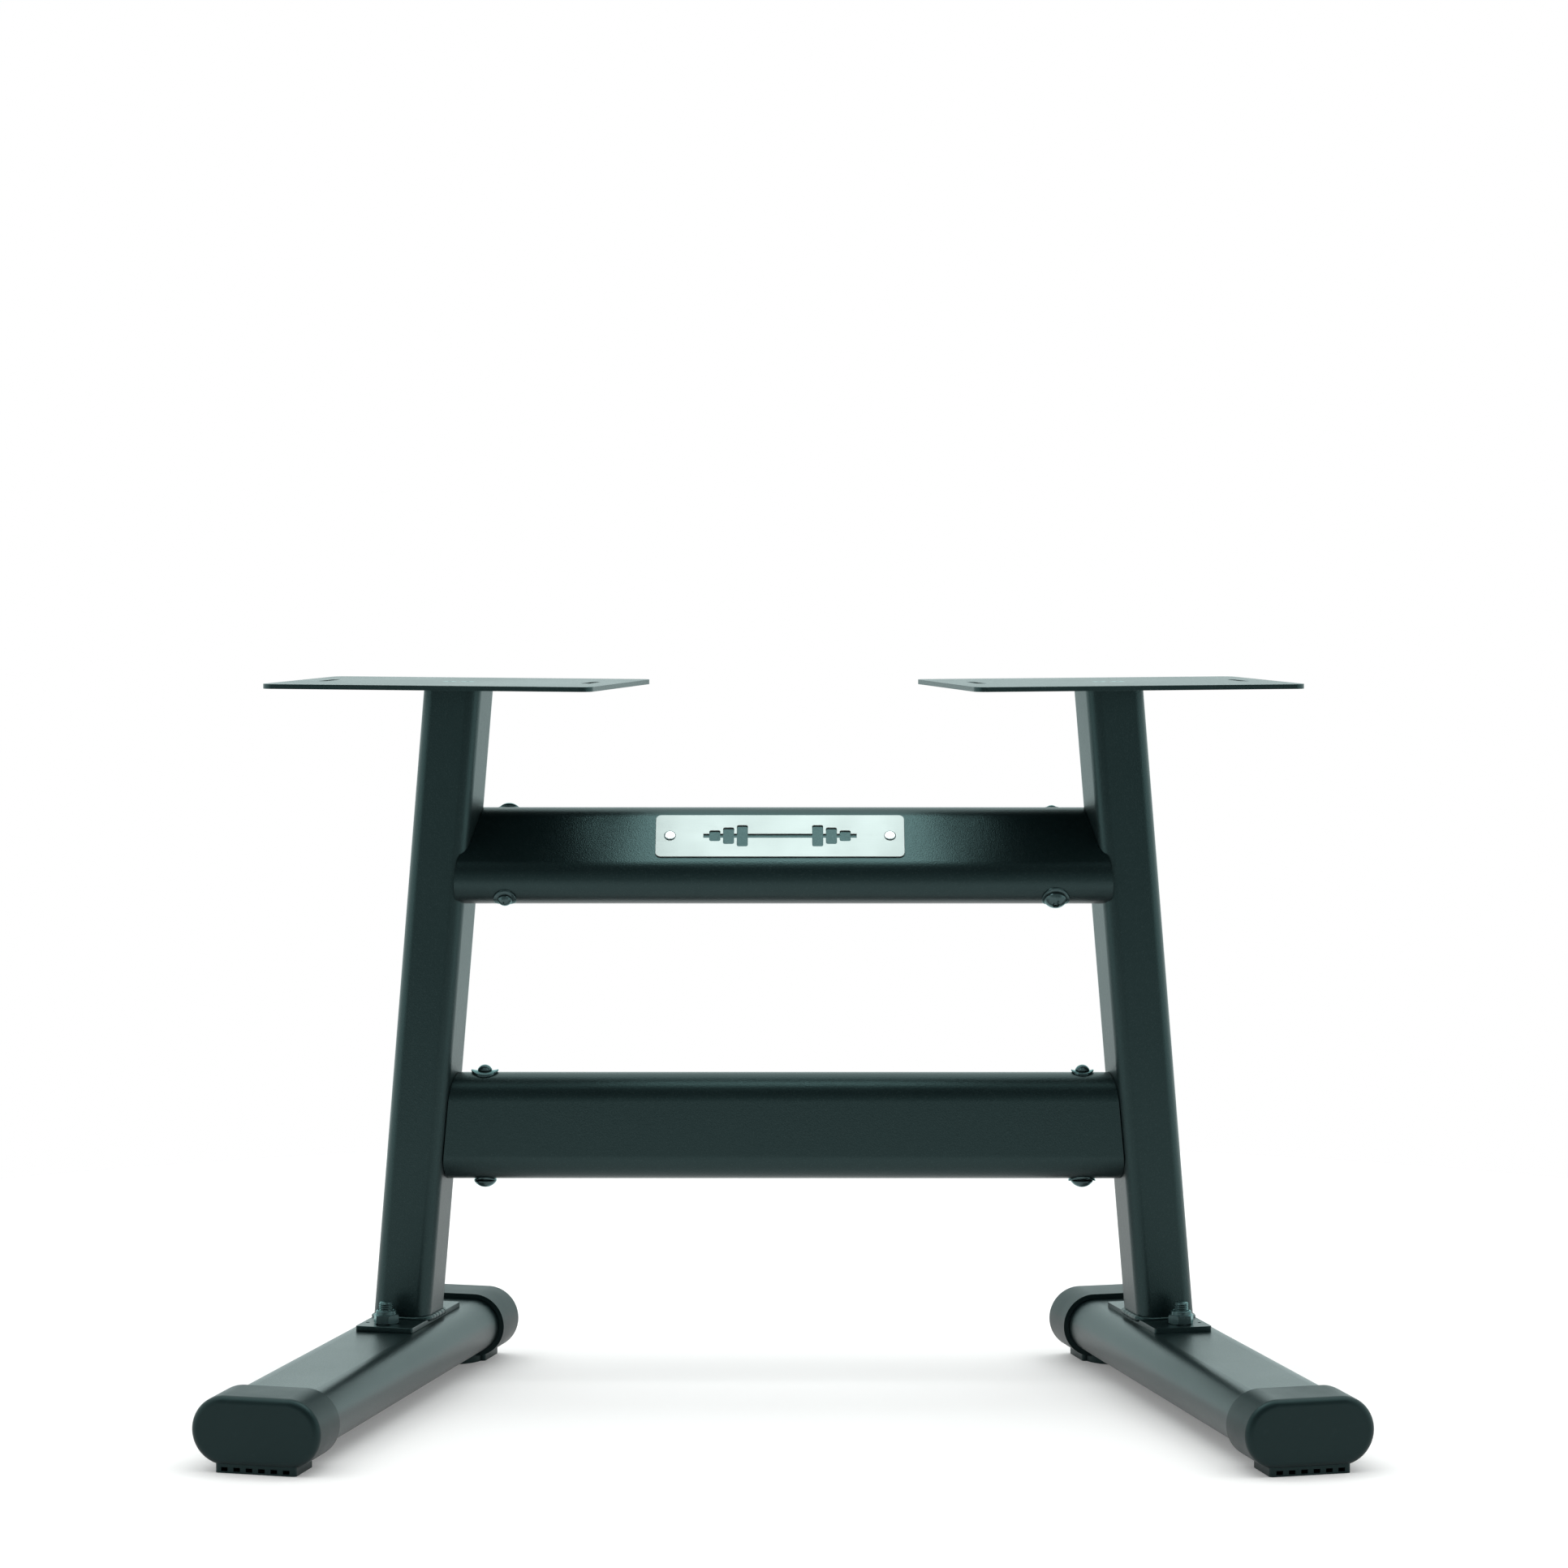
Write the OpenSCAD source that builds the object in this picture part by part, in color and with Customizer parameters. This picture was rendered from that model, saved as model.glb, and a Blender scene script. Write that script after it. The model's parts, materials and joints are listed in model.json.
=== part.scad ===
// Free-standing weight stand: two splayed feet, two uprights that lean towards each other,
// two bolted crossbeams and a pair of flat tray plates with strap slots.
// Millimetres, +Z up, front towards -Y. The origin is on the floor under the middle.
// The left half is modelled in a foot's own frame, and the right half mirrors it.

/* [Feet] */
// Angle by which each foot turns outward at the front
splay = 14; // [8:0.5:18]
// Sideways distance from the middle to the bottom of each upright
base_x = 318; // [300:1:340]
// Reach of a foot ahead of its upright
front_reach = 360; // [300:5:400]
// Reach of a foot behind its upright
rear_reach = 146; // [135:1:180]
// Width of the flat-oval foot tube
foot_w = 96; // [92:1:100]
// Height of the flat-oval foot tube
foot_h = 45; // [42:1:48]

/* [End caps] */
// Wall of the moulded cap round the tube
cap_wall = 4.6; // [3.5:0.1:5]
// Length of the cap's sleeve, face to rim
cap_len = 47; // [42:1:55]
// Rounding of the edge round the cap's face
cap_edge_r = 6; // [5:0.5:10]
// Drop of the tread pad below the cap
pad_drop = 5.5; // [5:0.5:8]
// Width of the tread pad
pad_w = 66; // [60:1:70]

/* [Uprights] */
// Width and depth of the square upright tube
upright_w = 50; // [45:1:55]
// Outer corner radius of the upright
upright_r = 11; // [8:0.5:13]
// Lean of each upright towards the middle
lean = 5.1; // [3:0.1:6]
// Height of the trays' top faces above the floor
tray_top = 596; // [560:1:620]
// Width of the base plate
base_w = 50; // [48:1:52]
// Length of the base plate
base_len = 126; // [122:1:150]
// Thickness of the base plate
base_t = 4.5; // [4:0.5:6]

/* [Crossbeams] */
// Long side of the flat-oval beam tube
beam_w = 90; // [86:1:94]
// Short side of the flat-oval beam tube
beam_h = 45; // [44:1:46]
// Height of the lower beam's middle
lower_z = 221; // [200:1:260]
// Height of the upper beam's middle
upper_z = 450; // [430:1:470]
// Tilt of the upper beam's flat face away from upright
upper_tilt = 41.5; // [30:0.5:50]
// Length by which the upper beam's ends wrap past the uprights' inner faces
beam_wrap = 5; // [3:0.5:7]
// Distance from an upright's middle to the beam bolt
bolt_in = 52; // [48:1:56]
// The same distance for the upper beam's right bolt
bolt_in_upper_right = 57.5; // [52:0.5:60]

/* [Trays] */
// Width of a tray plate
tray_w = 284; // [260:1:300]
// Depth of a tray plate
tray_d = 184; // [170:1:200]
// Thickness of a tray plate
tray_t = 4; // [4:0.5:6]
// Corner radius of a tray plate
tray_r = 10; // [6:1:14]
// Width of a strap slot
slot_w = 8; // [8:0.5:10]
// Length of a strap slot
slot_len = 38; // [32:1:44]
// Distance from a tray's side edge to the slot's middle
slot_in = 27; // [22:1:32]

/* [Name plate] */
// Width of the plate on the upper beam
plate_w = 208; // [200:1:212]
// Height of the plate, just inside the beam's flat face
plate_h = 43.5; // [40:0.5:44]
// Thickness of the plate
plate_t = 1.2; // [1:0.1:1.5]
// Distance from the middle to each rivet
rivet_x = 92; // [88:1:94]
// Sideways place of the plate's middle on the beam
plate_x = -3; // [-6:0.5:6]
// Height of the plate's middle up the beam's flat face
plate_up = 2.5; // [0:0.5:3]

/* [Hidden] */

$fn = 48;
tube_wall = 2.5;
through = 500;               // longer than anything that a cut passes through

coat = [0.14, 0.18, 0.18];
moulded = [0.10, 0.12, 0.12];
zinc = [0.06, 0.07, 0.07];
steel = [0.80, 0.81, 0.80];

// end caps
cap_fit = 0.2;               // gap between a cap's sleeve and the tube
cap_w = foot_w + 2 * cap_wall;
cap_h = foot_h + 2 * cap_wall;
cap_face_t = 4;              // thickness of a cap's end face
foot_axis_z = pad_drop + cap_h / 2;
foot_bottom = foot_axis_z - foot_h / 2;
foot_top = foot_axis_z + foot_h / 2;
pad_setback = 2;             // of the pad behind the cap's face
pad_top = foot_bottom - cap_fit / 2;
pad_r = 3;                   // plan radius of the pad's corners
tongue_r = 30;               // round tongue of the pad under the tube
tongue_y = cap_len - 13;     // middle of the tongue's circle
pad_end = cap_len - 7;       // where the pad's straight sides end
tread_count = 6;
tread_pitch = 10.1;
tread_w = 5.4;
tread_floor = 1.4;           // rubber left under a tread pocket
tread_h = 3.2;
tread_len = 32;
cap_screw_y = cap_len + 6;
cap_screw_d = 4;
cap_screw_head_d = 8;
cap_screw_head_h = 2.4;
cap_screw_recess = 3.6;      // height of the recess round a screw's head
cap_screw_len = 16;

// the foot tubes, base plates and the bolts through both
base_y = (front_reach - rear_reach) * cos(splay) / 2;
base_top = foot_top + base_t;
base_corner_r = 2;
foot_bolt_y = 45;            // either side of the upright's middle
foot_bolt_x = -4;            // towards the outer side of the foot
foot_bolt_d = 12;
foot_bolt_hole = 13;
foot_bolt_top = base_top + 18;
vent_hole = 3;               // small hole in a base plate's outer front corner
vent_x = -20;
vent_y = -46;
hex_af = 19;                 // M12 nut and bolt head across flats
foot_nut_h = 8;
foot_nut_collar_d = 17;
foot_nut_collar_h = 3.2;
foot_head_h = 6;
foot_washer_d = 24;
foot_washer_t = 2;

// the uprights
tray_bottom = tray_top - tray_t;
upright_rise = tray_bottom - base_top;
lean_shift = upright_rise * tan(lean);
end_plate_t = 6;
end_plate_fit = 0.2;         // gap between an end plate and the tube's inside

// tray screws, M6 countersunk
tray_screw_x = 8;
tray_screw_d = 6;
tray_screw_head_d = 12;
tray_screw_len = 16;
tray_screw_af = 4;

// crossbeams and their fasteners
beam_gap = 0.4;              // between a beam's cut end and the upright
bracket_fit = 0.4;           // between a bracket and the beam's inside
bracket_wall = 3;
bracket_len = 60;
beam_bolt_d = 8;
beam_bolt_hole = 9;
lobe_r = beam_h / 2;
lobe_z = (beam_w - beam_h) / 2;
saddle_t = 1.6;
saddle_d_large = 23;
saddle_d_small = 19;
seat_z = beam_w / 2 + saddle_t;   // a head's or nut's seat above the beam's middle
button_d = 18.6;
button_h = 6;
button_rim = 1;
button_af = 6;
cap_nut_d = 12;
cap_nut_h = 4.8;
cap_nut_rim = 1.2;
cap_nut_bore = 2.6;

// name plate
plate_r = 4.5;
rivet_d = 4;
rivet_head_d = 8.5;
rivet_head_h = 1.2;
rivet_tail_d = 6;
rivet_tail_h = 3;
sign_bar_w = 128;            // the plate's cut-out: a bar with weight discs at both ends
sign_bar_h = 4;
sign_disc_w = 9;
sign_disc_gap = 2.5;
sign_discs = [22, 17, 11];   // heights, from the inner disc outward
sign_inner_x = 27;

// middle of an upright at height z: sideways distance, and depth
function upright_x(z) = base_x - (z - base_top) * tan(lean) * cos(splay);
function upright_y(z) = base_y - (z - base_top) * tan(lean) * sin(splay);
// radius of the ball whose cap has base diameter d and height h
function ball_r(d, h) = (d * d / 4 + h * h) / (2 * h);

// ---- plane shapes ----

module rounded_rect(w, d, r) {
    square([w - 2 * r, d], center = true);
    square([w, d - 2 * r], center = true);
    for (x = [-1, 1], y = [-1, 1])
        translate([x * (w / 2 - r), y * (d / 2 - r)]) circle(r);
}

// flat oval, long side along X
module flat_oval(w, h) {
    square([w - h, h], center = true);
    for (x = [-1, 1])
        translate([x * (w - h) / 2, 0]) circle(d = h);
}

// ---- frames ----

// local -Y runs forward along the left foot, +X towards the middle of the stand
module on_left_foot() {
    translate([-base_x, base_y, 0]) rotate([0, 0, -splay]) children();
}

// local Z runs up the left upright's axis
module along_left_upright() {
    on_left_foot() translate([0, 0, base_top]) rotate([0, lean, 0]) children();
}

// a cap's own frame, with its face at Y = 0 and the tube towards +Y
module at_front_cap() {
    on_left_foot() translate([0, -front_reach, 0]) children();
}
module at_rear_cap() {
    on_left_foot() translate([0, rear_reach, 0]) mirror([0, 1, 0]) children();
}

// X along the beam, Z along the long side of its section, -Y out of its front face
module at_beam(z, tilt) {
    translate([0, upright_y(z), z]) rotate([-tilt, 0, 0]) children();
}
module at_lower() {
    at_beam(lower_z, 0) children();
}
module at_upper() {
    at_beam(upper_z, upper_tilt) children();
}

// both halves of the stand, for groups of equal fasteners
module both_sides() {
    children();
    mirror([1, 0, 0]) children();
}

// ---- feet ----

module foot_tube() {
    on_left_foot() difference() {
        translate([0, rear_reach - cap_face_t, foot_axis_z]) rotate([90, 0, 0])
            linear_extrude(front_reach + rear_reach - 2 * cap_face_t) difference() {
                flat_oval(foot_w, foot_h);
                flat_oval(foot_w - 2 * tube_wall, foot_h - 2 * tube_wall);
            }
        for (y = [-1, 1])
            translate([foot_bolt_x, y * foot_bolt_y, 0]) cylinder(d = foot_bolt_hole, h = through);
        for (y = [-front_reach + cap_screw_y, rear_reach - cap_screw_y])
            translate([0, y, 0]) cylinder(d = cap_screw_d, h = foot_axis_z);
    }
}

// half of the cap's section through its long axis: radius along X, depth from the face along Y
module cap_half_profile() {
    r = cap_h / 2;
    square([r - cap_edge_r, cap_len]);
    translate([0, cap_edge_r]) square([r, cap_len - cap_edge_r]);
    translate([r - cap_edge_r, cap_edge_r]) circle(cap_edge_r);
}

module cap_body() {
    flat_w = cap_w - cap_h;
    translate([0, 0, foot_axis_z]) {
        rotate([0, -90, 0]) linear_extrude(flat_w, center = true) {
            cap_half_profile();
            mirror([1, 0]) cap_half_profile();
        }
        for (x = [-1, 1])
            translate([x * flat_w / 2, 0, 0]) rotate([-90, 0, 0]) rotate_extrude() intersection() {
                cap_half_profile();
                square([cap_h, cap_len]);
            }
    }
}

module cap_pad() {
    pad_len = pad_end - pad_setback;
    linear_extrude(pad_top) {
        translate([0, pad_setback + pad_len / 2]) rounded_rect(pad_w, pad_len, pad_r);
        translate([0, tongue_y]) circle(tongue_r);
    }
}

module foot_cap() {
    pocket_w = foot_w + 2 * cap_fit;
    pocket_h = foot_h + 2 * cap_fit;
    difference() {
        union() {
            cap_body();
            cap_pad();
        }
        translate([0, cap_face_t + through, foot_axis_z]) rotate([90, 0, 0])
            linear_extrude(through) flat_oval(pocket_w, pocket_h);
        for (i = [0 : tread_count - 1])
            translate([(i - (tread_count - 1) / 2) * tread_pitch - tread_w / 2, 0, tread_floor])
                cube([tread_w, tread_len, tread_h]);
        translate([0, cap_screw_y, -1]) cylinder(d = cap_screw_head_d + 1, h = cap_screw_recess + 1);
        translate([0, cap_screw_y, 0]) cylinder(d = cap_screw_d, h = foot_axis_z);
    }
}

module cap_screw() {
    translate([0, cap_screw_y, cap_screw_recess]) {
        translate([0, 0, -cap_screw_head_h]) cylinder(d = cap_screw_head_d, h = cap_screw_head_h);
        cylinder(d = cap_screw_d, h = cap_screw_len);
    }
}

module front_left_foot_cap() { color(moulded) at_front_cap() foot_cap(); }
module rear_left_foot_cap() { color(moulded) at_rear_cap() foot_cap(); }
module front_right_foot_cap() { mirror([1, 0, 0]) front_left_foot_cap(); }
module rear_right_foot_cap() { mirror([1, 0, 0]) rear_left_foot_cap(); }
module left_foot_tube() { color(coat) foot_tube(); }
module right_foot_tube() { mirror([1, 0, 0]) left_foot_tube(); }

module foot_cap_screws() {
    color(zinc) both_sides() {
        at_front_cap() cap_screw();
        at_rear_cap() cap_screw();
    }
}

module left_base_plate() {
    color(coat) on_left_foot() translate([0, 0, foot_top]) linear_extrude(base_t) difference() {
        rounded_rect(base_w, base_len, base_corner_r);
        for (y = [-1, 1])
            translate([foot_bolt_x, y * foot_bolt_y]) circle(d = foot_bolt_hole);
        translate([vent_x, vent_y]) circle(d = vent_hole);
    }
}
module right_base_plate() { mirror([1, 0, 0]) left_base_plate(); }

// the four places of the foot bolts, with Z = 0 on the floor
module at_foot_bolts() {
    both_sides() on_left_foot() for (y = [-1, 1])
        translate([foot_bolt_x, y * foot_bolt_y, 0]) children();
}

// hexagon with its rim turned off at one end
module chamfered_hex(h) {
    corner_d = hex_af / cos(30);
    chamfer = (corner_d - hex_af) / 2;
    intersection() {
        cylinder(d = corner_d, h = h, $fn = 6);
        union() {
            cylinder(d = corner_d, h = h - chamfer);
            translate([0, 0, h - chamfer]) cylinder(d1 = corner_d, d2 = hex_af - chamfer, h = chamfer);
        }
    }
}

module foot_bolts() {
    head_top = foot_bottom - foot_washer_t;
    tip = 1.5;
    color(zinc) at_foot_bolts() {
        translate([0, 0, head_top]) mirror([0, 0, 1]) chamfered_hex(foot_head_h);
        translate([0, 0, head_top - 1]) cylinder(d = foot_bolt_d, h = foot_bolt_top - head_top + 1 - tip);
        translate([0, 0, foot_bolt_top - tip])
            cylinder(d1 = foot_bolt_d, d2 = foot_bolt_d - 2 * tip, h = tip);
    }
}

module foot_bolt_washers() {
    color(zinc) at_foot_bolts() translate([0, 0, foot_bottom - foot_washer_t]) difference() {
        cylinder(d = foot_washer_d, h = foot_washer_t);
        translate([0, 0, -1]) cylinder(d = foot_bolt_hole, h = foot_washer_t + 2);
    }
}

// lock nut: a hexagon with a rounded collar on top
module foot_nuts() {
    collar_round = 1.2;
    color(zinc) at_foot_bolts() translate([0, 0, base_top]) difference() {
        union() {
            chamfered_hex(foot_nut_h);
            cylinder(d = foot_nut_collar_d, h = foot_nut_h + foot_nut_collar_h - collar_round);
            translate([0, 0, foot_nut_h + foot_nut_collar_h - collar_round])
                cylinder(d1 = foot_nut_collar_d, d2 = foot_nut_collar_d - 2 * collar_round, h = collar_round);
        }
        translate([0, 0, -1]) cylinder(d = foot_bolt_d, h = foot_nut_h + foot_nut_collar_h + 2);
    }
}

// ---- uprights ----

// keeps what lies between two heights, in the foot's frame
module height_slab(z0, z1) {
    on_left_foot() translate([-through / 2, -through / 2, z0]) cube([through, through, z1 - z0]);
}

module upright_bar(w, r) {
    overrun = upright_w;
    along_left_upright() translate([0, 0, -overrun])
        linear_extrude(upright_rise + 2 * overrun) rounded_rect(w, w, r);
}

module left_upright() {
    inner_w = upright_w - 2 * tube_wall;
    color(coat) intersection() {
        difference() {
            upright_bar(upright_w, upright_r);
            upright_bar(inner_w, upright_r - tube_wall);
        }
        height_slab(base_top, tray_bottom);
    }
}
module right_upright() { mirror([1, 0, 0]) left_upright(); }

// the two places of a tray's screws, with Z = 0 at the tray's top face
module at_tray_screws() {
    on_left_foot() for (x = [-1, 1])
        translate([lean_shift + x * tray_screw_x, 0, tray_top]) children();
}

module left_upright_end_plate() {
    plate_side = upright_w - 2 * tube_wall - 2 * end_plate_fit;
    color(coat) difference() {
        intersection() {
            upright_bar(plate_side, upright_r - tube_wall - end_plate_fit);
            height_slab(tray_bottom - end_plate_t, tray_bottom);
        }
        at_tray_screws() translate([0, 0, -through / 2]) cylinder(d = tray_screw_d, h = through);
    }
}
module right_upright_end_plate() { mirror([1, 0, 0]) left_upright_end_plate(); }

// ---- trays ----

// countersunk head, flush at Z = 0, on a straight shank
module countersunk(extra = 0) {
    head_h = (tray_screw_head_d - tray_screw_d) / 2;
    translate([0, 0, -head_h]) cylinder(d1 = tray_screw_d, d2 = tray_screw_head_d, h = head_h);
    translate([0, 0, -tray_screw_len - extra]) cylinder(d = tray_screw_d, h = tray_screw_len + extra);
}

module left_tray_plate() {
    color(coat) difference() {
        on_left_foot() translate([lean_shift, 0, tray_bottom]) linear_extrude(tray_t) difference() {
            rounded_rect(tray_w, tray_d, tray_r);
            for (x = [-1, 1])
                translate([x * (tray_w / 2 - slot_in), 0]) rotate(90) flat_oval(slot_len, slot_w);
        }
        at_tray_screws() countersunk(extra = tray_t);
    }
}
module right_tray_plate() { mirror([1, 0, 0]) left_tray_plate(); }

module tray_screws() {
    socket = 2.2;
    color(zinc) both_sides() at_tray_screws() difference() {
        countersunk();
        translate([0, 0, -socket]) cylinder(d = tray_screw_af / cos(30), h = socket + 1, $fn = 6);
    }
}

// ---- crossbeams ----

module oval_bar(len, w, h) {
    translate([-len / 2, 0, 0]) rotate([90, 0, 90]) linear_extrude(len) rotate(90) flat_oval(w, h);
}

// everything outboard of the left upright's inner face, less the wrap, and the upright itself
module left_end_cut(wrap) {
    face = upright_w / 2 + beam_gap;
    along_left_upright() translate([face - wrap - through, -through / 2, -through / 2])
        cube([through, through, 3 * through]);
    upright_bar(upright_w + 2 * beam_gap, upright_r + beam_gap);
}

// one bolt place of a beam, in its own frame: side is -1 on the left and 1 on the right
module at_beam_bolt(z, side) {
    inset = z == upper_z && side == 1 ? bolt_in_upper_right : bolt_in;
    translate([side * (upright_x(z) - inset), 0, 0]) children();
}
module at_beam_bolts(z) {
    for (side = [-1, 1])
        at_beam_bolt(z, side) children();
}

module beam(z, tilt, wrap) {
    difference() {
        at_beam(z, tilt) difference() {
            oval_bar(2 * base_x, beam_w, beam_h);
            oval_bar(2 * base_x + 2, beam_w - 2 * tube_wall, beam_h - 2 * tube_wall);
            at_beam_bolts(z) cylinder(d = beam_bolt_hole, h = beam_w + 2, center = true);
        }
        both_sides() left_end_cut(wrap);
    }
}

module lower_crossbeam() {
    color(coat) beam(lower_z, 0, 0);
}

module upper_crossbeam() {
    color(coat) difference() {
        beam(upper_z, upper_tilt, beam_wrap);
        at_plate() for (x = [-1, 1])
            translate([x * rivet_x, 0, -beam_h / 2]) cylinder(d = rivet_d, h = beam_h);
    }
}

// stub of oval tube welded to the left upright, which the beam's end slides over
module left_bracket(z, tilt, inset) {
    w = beam_w - 2 * tube_wall - 2 * bracket_fit;
    h = beam_h - 2 * tube_wall - 2 * bracket_fit;
    face = upright_w / 2;
    inner_end = upright_x(z) - face / cos(splay) - bracket_len;
    difference() {
        at_beam(z, tilt) translate([-inner_end - bracket_len, 0, 0]) difference() {
            oval_bar(2 * bracket_len, w, h);
            oval_bar(2 * bracket_len + 2, w - 2 * bracket_wall, h - 2 * bracket_wall);
        }
        at_beam(z, tilt) translate([inset - upright_x(z), 0, 0])
            cylinder(d = beam_bolt_hole, h = beam_w, center = true);
        along_left_upright() translate([face - through, -through / 2, -through / 2])
            cube([through, through, 3 * through]);
    }
}

module lower_left_beam_bracket() { color(coat) left_bracket(lower_z, 0, bolt_in); }
module lower_right_beam_bracket() { mirror([1, 0, 0]) lower_left_beam_bracket(); }
module upper_left_beam_bracket() { color(coat) left_bracket(upper_z, upper_tilt, bolt_in); }
module upper_right_beam_bracket() {
    color(coat) mirror([1, 0, 0]) left_bracket(upper_z, upper_tilt, bolt_in_upper_right);
}

// domed button head on a shank, with its seat at Z = 0 and the shank towards -Z
module button_bolt(shank) {
    ball = ball_r(button_d, button_h - button_rim);
    difference() {
        union() {
            cylinder(d = button_d, h = button_rim);
            translate([0, 0, button_rim]) intersection() {
                translate([0, 0, button_h - button_rim - ball]) sphere(ball);
                cylinder(d = button_d, h = button_h);
            }
            translate([0, 0, -shank]) cylinder(d = beam_bolt_d, h = shank);
        }
        translate([0, 0, button_h / 2]) cylinder(d = button_af / cos(30), h = button_h, $fn = 6);
    }
}

// round-topped cap nut with its seat at Z = 0
module cap_nut() {
    ball = ball_r(cap_nut_d, cap_nut_h - cap_nut_rim);
    difference() {
        union() {
            cylinder(d = cap_nut_d, h = cap_nut_rim);
            translate([0, 0, cap_nut_rim]) intersection() {
                translate([0, 0, cap_nut_h - cap_nut_rim - ball]) sphere(ball);
                cylinder(d = cap_nut_d, h = cap_nut_h);
            }
        }
        translate([0, 0, -1]) cylinder(d = beam_bolt_d, h = cap_nut_bore + 1);
    }
}

// washer bent to the round side of a beam, on the side of +Z
module saddle_washer(d) {
    intersection() {
        translate([0, 0, lobe_z]) rotate([0, 90, 0]) difference() {
            cylinder(r = lobe_r + saddle_t, h = 2 * d, center = true);
            cylinder(r = lobe_r, h = 2 * d + 2, center = true);
        }
        translate([0, 0, lobe_z]) difference() {
            cylinder(d = d, h = lobe_r + 2 * saddle_t);
            cylinder(d = beam_bolt_hole, h = beam_w);
        }
    }
}

// a bolt whose head is on the side of +Z, or of -Z when flipped
module beam_bolt(flipped) {
    mirror([0, 0, flipped ? 1 : 0]) translate([0, 0, seat_z])
        button_bolt(2 * seat_z + cap_nut_bore);
}
module beam_nut(flipped) {
    mirror([0, 0, flipped ? 0 : 1]) translate([0, 0, seat_z]) cap_nut();
}
module beam_washers(d_up, d_down) {
    saddle_washer(d_up);
    mirror([0, 0, 1]) saddle_washer(d_down);
}

// the lower beam's bolts both point up
module lower_beam_bolts() {
    color(zinc) at_lower() at_beam_bolts(lower_z) beam_bolt(true);
}
module lower_beam_cap_nuts() {
    color(zinc) at_lower() at_beam_bolts(lower_z) beam_nut(true);
}
module lower_beam_saddle_washers() {
    color(zinc) at_lower() {
        at_beam_bolt(lower_z, -1) beam_washers(saddle_d_large, saddle_d_small);
        at_beam_bolt(lower_z, 1) beam_washers(saddle_d_small, saddle_d_large);
    }
}

// the upper beam's left bolt points down, and its right bolt points up
module upper_beam_bolts() {
    color(zinc) at_upper() for (side = [-1, 1])
        at_beam_bolt(upper_z, side) beam_bolt(side == 1);
}
module upper_beam_cap_nuts() {
    color(zinc) at_upper() for (side = [-1, 1])
        at_beam_bolt(upper_z, side) beam_nut(side == 1);
}
module upper_beam_saddle_washers() {
    color(zinc) at_upper() {
        at_beam_bolt(upper_z, -1) beam_washers(saddle_d_large, saddle_d_small);
        at_beam_bolt(upper_z, 1) beam_washers(saddle_d_small, saddle_d_large);
    }
}

// ---- name plate ----

// a loaded bar, as plain openings in the plate
module sign_cutout() {
    square([sign_bar_w, sign_bar_h], center = true);
    for (side = [-1, 1], i = [0 : len(sign_discs) - 1])
        translate([side * (sign_inner_x + sign_disc_w / 2 + i * (sign_disc_w + sign_disc_gap)), 0])
            rounded_rect(sign_disc_w, sign_discs[i], 1.5);
}

// at the plate's middle on the upper beam's front face, with Y up the face and Z out of it
module at_plate() {
    at_upper() translate([plate_x, -beam_h / 2, plate_up]) rotate([90, 0, 0]) children();
}

module name_plate() {
    color(steel) at_plate() linear_extrude(plate_t) difference() {
        rounded_rect(plate_w, plate_h, plate_r);
        sign_cutout();
        for (x = [-1, 1])
            translate([x * rivet_x, 0]) circle(d = rivet_d);
    }
}

module name_plate_rivets() {
    ball = ball_r(rivet_head_d, rivet_head_h);
    tail = tube_wall + rivet_tail_h;
    color(steel) at_plate() for (x = [-1, 1]) translate([x * rivet_x, 0, 0]) {
        translate([0, 0, plate_t]) intersection() {
            translate([0, 0, rivet_head_h - ball]) sphere(ball);
            cylinder(d = rivet_head_d, h = rivet_head_h);
        }
        translate([0, 0, -tail]) cylinder(d = rivet_d, h = tail + plate_t);
        translate([0, 0, -tail]) cylinder(d = rivet_tail_d, h = rivet_tail_h);
    }
}

left_foot_tube();
right_foot_tube();
front_left_foot_cap();
front_right_foot_cap();
rear_left_foot_cap();
rear_right_foot_cap();
foot_cap_screws();
left_base_plate();
right_base_plate();
foot_bolts();
foot_bolt_washers();
foot_nuts();
left_upright();
right_upright();
left_upright_end_plate();
right_upright_end_plate();
left_tray_plate();
right_tray_plate();
tray_screws();
lower_crossbeam();
upper_crossbeam();
lower_left_beam_bracket();
lower_right_beam_bracket();
upper_left_beam_bracket();
upper_right_beam_bracket();
lower_beam_bolts();
lower_beam_cap_nuts();
lower_beam_saddle_washers();
upper_beam_bolts();
upper_beam_cap_nuts();
upper_beam_saddle_washers();
name_plate();
name_plate_rivets();
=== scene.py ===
"""Looks of a free-standing weight stand: edges, fasteners, threads, welds, finishes, light and camera."""

import json
import math

import bmesh
import bpy
from mathutils import Matrix, Vector

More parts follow.
